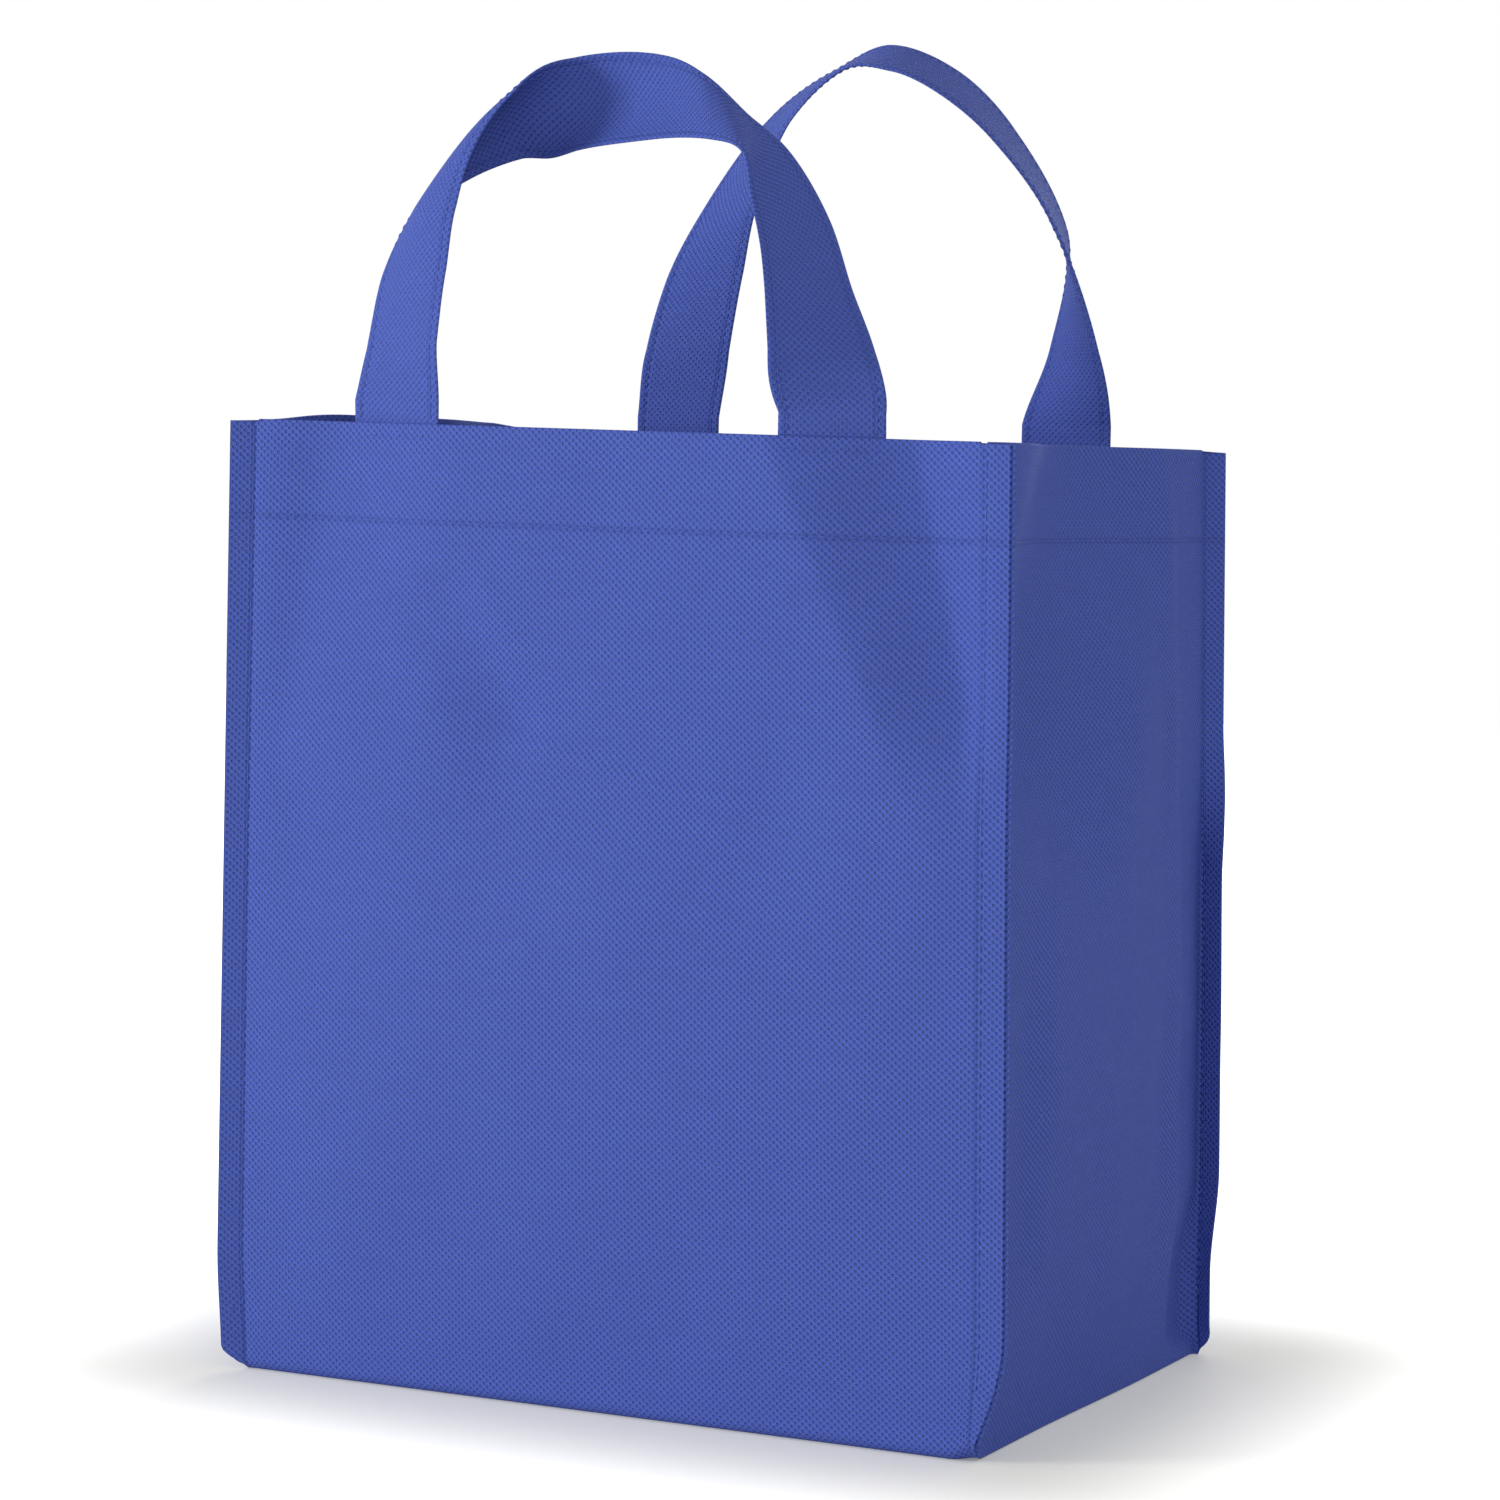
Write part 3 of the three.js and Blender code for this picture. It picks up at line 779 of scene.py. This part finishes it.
def stitch_vertices(line, up):
    """Rings round one stitch, which swells and rises between its ends."""
    up = unit(up)
    beside = np.cross(unit(np.gradient(line, axis=0)), up)
    arch = np.sin(np.linspace(0, math.pi, STITCH_RINGS))
    radius = THREAD_RADIUS * between((THREAD_END_SHARE, 1), arch)
    line = line + up * (THREAD_RADIUS * between(THREAD_RISE, arch))[:, None]
    angles = np.arange(STITCH_SIDES) * 2 * math.pi / STITCH_SIDES
    ring = beside[:, None] * np.cos(angles)[None, :, None] + up[:, None] * np.sin(angles)[None, :, None]
    return (line[:, None] + ring * radius[:, None, None]).reshape(-1, 3)


def stitch_faces(first):
    """Quads between the rings of one stitch, and a face at each end."""
    faces = []
    for r in range(STITCH_RINGS - 1):
        for s in range(STITCH_SIDES):
            a = first + r * STITCH_SIDES + s
            b = first + r * STITCH_SIDES + (s + 1) % STITCH_SIDES
            faces.append((a, b, b + STITCH_SIDES, a + STITCH_SIDES))
    ring = [first + s for s in range(STITCH_SIDES)]
    faces.append(tuple(ring[::-1]))
    faces.append(tuple(i + (STITCH_RINGS - 1) * STITCH_SIDES for i in ring))
    return faces


def stitch_row(points, normals, first):
    """Vertices and faces of one row of stitches along a line of points."""
    run = run_along(points)
    count = max(int(run[-1] / STITCH_PITCH), 1)
    pitch = run[-1] / count
    vertices, faces = [], []
    for k in range(count):
        start = (k + 0.5) * pitch - STITCH_LENGTH / 2
        at = start + np.linspace(0, STITCH_LENGTH, STITCH_RINGS)
        line = np.stack([np.interp(at, run, points[:, i]) for i in range(3)], -1)
        up = np.stack([np.interp(at, run, normals[:, i]) for i in range(3)], -1)
        vertices.append(stitch_vertices(line, up))
        faces += stitch_faces(first + k * STITCH_RINGS * STITCH_SIDES)
    return np.concatenate(vertices), faces


def sew(name, rows, material):
    """One piece from many stitch rows. A row is a cloth, its flat-pattern line and a face."""
    vertices, faces, count = [], [], 0
    for cloth, line, face in rows:
        line = np.array(line, float)
        run = run_along(line)
        at = np.linspace(0, run[-1], max(int(run[-1] / ROW_STEP), ROW_LEAST_STEPS))
        u = np.interp(at, run, line[:, 0])
        v = np.interp(at, run, line[:, 1])
        row_vertices, row_faces = stitch_row(*cloth.at(u, v, face), count)
        vertices.append(row_vertices)
        faces += row_faces
        count += len(row_vertices)
    piece = add_object(name, np.concatenate(vertices), faces, material)
    piece.data.shade_smooth()
    return piece


def from_end(cloth, v, flip):
    """A flat-pattern distance, counted from the sheet's other end if flipped."""
    return cloth.v[-1] - v if flip else v


def hem_rows(cloth, half, face, flip=False):
    """The hem row of a wall, as seen outside and inside."""
    rows = []
    for distance in (HEM_ROW_V, HEM_ROW_INSET):
        v = from_end(cloth, distance, flip)
        rows.append((cloth, [(-half, v), (half, v)], face))
    return rows


def strap_tacks(cloth, face, flip=False):
    """A row near the rim across each strap end, seen on the outside of the front or back."""
    v = from_end(cloth, WALL_V + TACK_DROP, flip)
    rows = []
    for side in (-1, 1):
        middle = side * STRAP_SPACING / 2
        rows.append((cloth, [(middle - TACK_HALF_WIDTH, v), (middle + TACK_HALF_WIDTH, v)], face))
    return rows


def corner_foot_v(corner):
    """Flat-pattern distance at which the stitching of a corner ends, near the foot."""
    return WALL_V + BAG_HEIGHT - max(CORNERS[corner][1] * CORNER_ROW_FADE_SHARE, CORNER_ROW_FOOT)


def body_corner_rows(cloth, face):
    """Top-stitching down the corner flanges of front and back, turning out to the edge near the foot."""
    rows = []
    for end in (-1, 1):
        for side in (-1, 1):
            u = side * (STITCH_X + BODY_ROW_OUT)
            turned_u = side * (STITCH_X + FLANGE_WIDTH * CORNER_ROW_TURN_SHARE)
            foot_v = corner_foot_v((side, end))
            line = [(u, WALL_V + CORNER_ROW_START), (u, foot_v), (turned_u, foot_v)]
            rows.append((cloth, [(u, from_end(cloth, v, end > 0)) for u, v in line], face))
    return rows


def side_corner_rows(cloth, face, side):
    """Top-stitching down both edges of a side panel."""
    rows = []
    for end in (-1, 1):
        u = end * (SIDE_SEAM + SIDE_ROW_OUT)
        line = [(u, WALL_V + CORNER_ROW_START), (u, corner_foot_v((side, end)))]
        rows.append((cloth, line, face))
    return rows


def strap_rows(cloth):
    """Two rows down a strap, near its edges, on both faces."""
    start, end = STRAP_ROW_END, cloth.v[-1] - STRAP_ROW_END
    places = (-STRAP_ROW, STRAP_ROW)
    return [(cloth, [(u, start), (u, end)], face) for u in places for face in (-1, 1)]


# Materials

class Nodes:
    """Short way to add and join the nodes of one material."""

    def __init__(self, name):
        self.material = bpy.data.materials.new(name)
        self.material.use_nodes = True
        self.tree = self.material.node_tree
        self.shader = self.tree.nodes["Principled BSDF"]

    def add(self, kind, **settings):
        node = self.tree.nodes.new(kind)
        for key, value in settings.items():
            setattr(node, key, value)
        return node

    def join(self, start, end):
        self.tree.links.new(start, end)

    def math(self, operation, a, b=None):
        node = self.add("ShaderNodeMath", operation=operation)
        for socket, value in zip(node.inputs, (a, b)):
            if value is None:
                continue
            if isinstance(value, (int, float)):
                socket.default_value = value
            else:
                self.join(value, socket)
        return node.outputs[0]

    def noise(self, vector, scale, detail=3.0, roughness=0.55):
        node = self.add("ShaderNodeTexNoise")
        node.inputs["Scale"].default_value = scale
        node.inputs["Detail"].default_value = detail
        node.inputs["Roughness"].default_value = roughness
        self.join(vector, node.inputs["Vector"])
        return node.outputs["Fac"]

    def step(self, value, low, high):
        """A soft step from 0 at one value to 1 at another."""
        node = self.add("ShaderNodeMapRange", interpolation_type="SMOOTHSTEP")
        node.inputs["From Min"].default_value = min(low, high)
        node.inputs["From Max"].default_value = max(low, high)
        node.inputs["To Min"].default_value = 0.0 if low < high else 1.0
        node.inputs["To Max"].default_value = 1.0 if low < high else 0.0
        self.join(value, node.inputs["Value"])
        return node.outputs["Result"]

    def between(self, fac, low, high):
        node = self.add("ShaderNodeMapRange")
        node.inputs["To Min"].default_value = low
        node.inputs["To Max"].default_value = high
        self.join(fac, node.inputs["Value"])
        return node.outputs["Result"]

    def colour(self, colour, strength):
        """Give the shader one colour at a changing strength."""
        node = self.add("ShaderNodeVectorMath", operation="SCALE")
        node.inputs[0].default_value = colour
        self.join(strength, node.inputs["Scale"])
        self.join(node.outputs[0], self.shader.inputs["Base Color"])

    def bump(self, height, strength, depth):
        node = self.add("ShaderNodeBump")
        node.inputs["Strength"].default_value = strength
        node.inputs["Distance"].default_value = depth * MM
        self.join(height, node.inputs["Height"])
        self.join(node.outputs["Normal"], self.shader.inputs["Normal"])


def embossed_dots(n, across, along):
    """Staggered dots of the embossing, with the ridges one way stronger than the other."""
    a = n.math("MULTIPLY", across, 2 * math.pi / (EMBOSS_WIDTH * MM))
    b = n.math("MULTIPLY", along, 2 * math.pi / (EMBOSS_HEIGHT * MM))
    rising = n.math("MULTIPLY", n.math("COSINE", n.math("SUBTRACT", a, b)), EMBOSS_MIX[0])
    falling = n.math("MULTIPLY", n.math("COSINE", n.math("ADD", a, b)), EMBOSS_MIX[1])
    return n.step(n.math("ADD", rising, falling), *EMBOSS_EDGE)


def pressed_rows(n, pattern, rows):
    """1 along the cloth's sewing rows. A row is an axis of the flat pattern and a place on it."""
    pressed = 0.0
    for axis, place in rows:
        aside = n.math("ABSOLUTE", n.math("SUBTRACT", pattern.outputs[axis], place * MM))
        pressed = n.math("ADD", pressed, n.step(aside, SEAM_PRESS * MM, 0))
    return pressed


def spunbond(name, rows, depth, brightness):
    """Matt spun-bonded cloth: staggered pressed dots with painted shade in them, loose fibre, cloudy tone,
    pressed sewing rows.
    """
    n = Nodes(name)
    flat = n.add("ShaderNodeUVMap", uv_map="cloth").outputs["UV"]
    pattern = n.add("ShaderNodeSeparateXYZ")
    n.join(flat, pattern.inputs[0])
    fibre = n.noise(flat, FIBRE_SCALE, detail=2.0)
    streak = n.add("ShaderNodeVectorMath", operation="MULTIPLY")
    streak.inputs[1].default_value = CLOUD_STRETCH
    n.join(flat, streak.inputs[0])
    cloud = n.noise(streak.outputs[0], CLOUD_SCALE, detail=4.0, roughness=0.6)
    dots = embossed_dots(n, pattern.outputs["X"], pattern.outputs["Y"])
    dot = n.math("MULTIPLY", dots, n.between(cloud, *CLOUD_DOTS))
    pressed = pressed_rows(n, pattern, rows)
    tone = n.math("ADD", n.between(cloud, -CLOUD_TONE, CLOUD_TONE), n.between(fibre, -FIBRE_TONE, FIBRE_TONE))
    # painted shade: the pressed dots are darkened in colour
    tone = n.math("ADD", tone, n.math("MULTIPLY", dot, DOT_PAINTED_SHADE))
    tone = n.math("ADD", tone, n.math("MULTIPLY", pressed, SEAM_TONE))
    n.colour(CLOTH_COLOUR, n.math("ADD", tone, brightness))
    roughness = n.math("ADD", n.math("MULTIPLY", dot, DOT_ROUGHNESS), n.between(fibre, *CLOTH_ROUGHNESS))
    n.join(roughness, n.shader.inputs["Roughness"])
    n.shader.inputs["Specular IOR Level"].default_value = CLOTH_SPECULAR
    height = n.math("SUBTRACT", n.math("MULTIPLY", fibre, FIBRE_HEIGHT), dot)
    height = n.math("SUBTRACT", height, n.math("MULTIPLY", pressed, SEAM_PRESS_DEPTH))
    n.bump(height, strength=1.0, depth=depth)
    return n.material


def thread_material():
    """Spun polyester thread in the colour of the cloth."""
    n = Nodes("sewing_thread")
    place = n.add("ShaderNodeTexCoord").outputs["Object"]
    twist = n.noise(place, THREAD_TWIST_SCALE, detail=2.0)
    n.colour(THREAD_COLOUR, n.between(twist, *THREAD_TONE))
    n.shader.inputs["Roughness"].default_value = THREAD_ROUGHNESS
    n.shader.inputs["Specular IOR Level"].default_value = THREAD_SPECULAR
    return n.material


def board_material():
    """Matt black plastic board with a fine pebbled face."""
    n = Nodes("insert_board")
    place = n.add("ShaderNodeTexCoord").outputs["Object"]
    grain = n.noise(place, BOARD_GRAIN_SCALE)
    scuff = n.noise(place, BOARD_SCUFF_SCALE, detail=4.0, roughness=0.65)
    n.colour(BOARD_COLOUR, n.between(scuff, *BOARD_TONE))
    n.join(n.between(scuff, *BOARD_ROUGHNESS), n.shader.inputs["Roughness"])
    n.bump(grain, strength=BOARD_GRAIN_STRENGTH, depth=BOARD_GRAIN_DEPTH)
    return n.material


# Pieces of the bag

def panel_piece(name, node, shape, seam, two_hems=False):
    """A panel in place of its node, pressed along its seams and hem rows, and its cloth."""
    grid, u, v = shape
    rows = [("X", -seam), ("X", seam), ("Y", HEM_ROW_V)]
    if two_hems:
        rows.append(("Y", v[-1] - HEM_ROW_V))
    material = spunbond("spunbond_" + node, rows, EMBOSS_DEPTH, PANEL_BRIGHTNESS)
    half = np.full(grid.shape[:2], CLOTH / 2)
    piece = sheet_piece(name, grid, half, u, v, material)
    return dressed(piece, "panel_cloth", node), Cloth(grid, u, v, CLOTH / 2)


def strap_piece(name, node, handle):
    """A strap in place of its node, pressed along its two rows, and its cloth."""
    grid, half, u, v = strap_grid(handle)
    rows = [("X", -STRAP_ROW), ("X", STRAP_ROW)]
    # the strap's cloth is painted darker than the panels', as painted shade
    material = spunbond("spunbond_" + node, rows, STRAP_EMBOSS_DEPTH, STRAP_BRIGHTNESS_WITH_PAINTED_SHADE)
    piece = sheet_piece(name, grid, half, u, v, material)
    return dressed(piece, "strap_cloth", node), Cloth(grid, u, v, STRAP_THICKNESS / 2)


def paint_board():
    board = bpy.data.objects["base_insert"]
    board.data.materials.clear()
    board.data.materials.append(board_material())


# Studio

def seen_directly(tree):
    """1 for rays from the camera, from glossy faces and through clear ones, else 0."""
    path = tree.nodes.new("ShaderNodeLightPath")
    total = path.outputs["Is Camera Ray"]
    for name in ("Is Glossy Ray", "Is Transmission Ray"):
        node = tree.nodes.new("ShaderNodeMath")
        node.operation = "MAXIMUM"
        tree.links.new(total, node.inputs[0])
        tree.links.new(path.outputs[name], node.inputs[1])
        total = node.outputs[0]
    return total


def distance_from_foot(n):
    """Distance on the floor from the bag's foot, 0 under it."""
    away = n.add("ShaderNodeTexCoord").outputs["Object"]
    foot = (BAG_WIDTH / 2 * MM, BAG_DEPTH / 2 * MM, 0)
    steps = (("ABSOLUTE", None), ("SUBTRACT", foot), ("MAXIMUM", (0, 0, 0)), ("LENGTH", None))
    for operation, value in steps:
        node = n.add("ShaderNodeVectorMath", operation=operation)
        n.join(away, node.inputs[0])
        if value:
            node.inputs[1].default_value = value
        away = node.outputs["Value" if operation == "LENGTH" else "Vector"]
    return away


def white_surface():
    """A pale floor seen as white by a painted glow, which is weakest at the bag's foot, so the floor there
    shows darker along with the bag's real shadow.
    """
    n = Nodes("pale_floor")
    n.tree.nodes.remove(n.shader)
    diffuse = n.add("ShaderNodeBsdfDiffuse")
    diffuse.inputs["Color"].default_value = FLOOR_COLOUR
    # painted glow for direct views, weakest at the foot: the floor darkens towards the bag on top of its real
    # shadow
    glow = n.between(n.step(distance_from_foot(n), 0, SHADOW_REACH), SHADOW_GLOW, 1.0)
    light = n.add("ShaderNodeEmission")
    n.join(n.math("MULTIPLY", seen_directly(n.tree), glow), light.inputs["Strength"])
    total = n.add("ShaderNodeAddShader")
    n.join(diffuse.outputs[0], total.inputs[0])
    n.join(light.outputs[0], total.inputs[1])
    n.join(total.outputs[0], n.tree.nodes["Material Output"].inputs["Surface"])
    return n.material


def add_floor():
    corners = np.array([(-1, -1, 0), (1, -1, 0), (1, 1, 0), (-1, 1, 0)]) * FLOOR_HALF / MM
    add_object("floor", corners, [(0, 1, 2, 3)], white_surface())


def add_world():
    """White when seen directly, dimmer as a light."""
    world = bpy.data.worlds.new("studio")
    bpy.context.scene.world = world
    world.use_nodes = True
    tree = world.node_tree
    background = tree.nodes["Background"]
    background.inputs["Color"].default_value = (1, 1, 1, 1)
    strength = tree.nodes.new("ShaderNodeMapRange")
    strength.inputs["To Min"].default_value = WORLD_LIGHT
    strength.inputs["To Max"].default_value = 1.0
    tree.links.new(seen_directly(tree), strength.inputs["Value"])
    tree.links.new(strength.outputs["Result"], background.inputs["Strength"])


def add_holder(name, data, right_way, up, back, place):
    """An object that looks against one direction, with another one upwards."""
    holder = bpy.data.objects.new(name, data)
    bpy.context.scene.collection.objects.link(holder)
    rows = [[right_way[i], up[i], back[i], place[i]] for i in range(3)]
    holder.matrix_world = Matrix(rows + [[0, 0, 0, 1]])
    return holder


def add_lamp(name, place, target, size, power):
    lamp = bpy.data.lights.new(name, "AREA")
    lamp.shape = "DISK"
    lamp.size = size
    lamp.energy = power
    back = unit(np.array(place) - np.array(target))
    right_way = unit(np.cross((0, 0, 1), back))
    add_holder(name, lamp, right_way, np.cross(back, right_way), back, place)


def add_camera():
    """The photograph's view: a long lens a little above the bag's middle, right of its front."""
    turn, dip, roll = (math.radians(a) for a in (CAMERA_TURN, CAMERA_DIP, CAMERA_ROLL))
    back = np.array([math.sin(turn) * math.cos(dip), -math.cos(turn) * math.cos(dip), math.sin(dip)])
    level = np.array([math.cos(turn), math.sin(turn), 0])
    upright = np.cross(back, level)
    right_way = math.cos(roll) * level + math.sin(roll) * upright
    up = math.cos(roll) * upright - math.sin(roll) * level
    target = right_way * CAMERA_ASIDE + np.array(CAMERA_TARGET)
    camera = bpy.data.cameras.new("camera")
    camera.sensor_width = CAMERA_SENSOR
    camera.lens = CAMERA_LENS
    camera.clip_end = CAMERA_REACH
    place = target + back * CAMERA_DISTANCE
    bpy.context.scene.camera = add_holder("camera", camera, right_way, up, back, place)


# The bag

thread = thread_material()
body, body_cloth = panel_piece("tote_body", "body_panel", body_grid(), STITCH_X, two_hems=True)
left, left_cloth = panel_piece("tote_left_side", "left_side_panel", side_grid(-1), SIDE_SEAM)
right, right_cloth = panel_piece("tote_right_side", "right_side_panel", side_grid(1), SIDE_SEAM)
front_strap, front_strap_cloth = strap_piece("tote_front_strap", "front_handle", FRONT_HANDLE)
back_strap, back_strap_cloth = strap_piece("tote_back_strap", "back_handle", BACK_HANDLE)

body_face = body_cloth.outer_face((0, -1, 0))
left_face = left_cloth.outer_face((-1, 0, 0))
right_face = right_cloth.outer_face((1, 0, 0))

hems = []
for flip in (False, True):
    hems += hem_rows(body_cloth, STITCH_X - EDGE_RUN, body_face, flip)
hems += hem_rows(left_cloth, PANEL_Y - SIDE_HEM_INSET, left_face)
hems += hem_rows(right_cloth, PANEL_Y - SIDE_HEM_INSET, right_face)
for flip in (False, True):
    hems += strap_tacks(body_cloth, body_face, flip)
dressed(sew("hem_stitches", hems, thread), "panel_cloth")

corner_rows = body_corner_rows(body_cloth, body_face)
corner_rows += side_corner_rows(left_cloth, left_face, -1)
corner_rows += side_corner_rows(right_cloth, right_face, 1)
dressed(sew("corner_stitches", corner_rows, thread), "panel_cloth")

strap_sewing = strap_rows(front_strap_cloth) + strap_rows(back_strap_cloth)
dressed(sew("strap_stitches", strap_sewing, thread), "strap_cloth")
paint_board()

add_floor()
add_world()
for name, lamp in LAMPS.items():
    add_lamp(name, *lamp)
add_camera()
bpy.context.scene.view_settings.view_transform = "Standard"
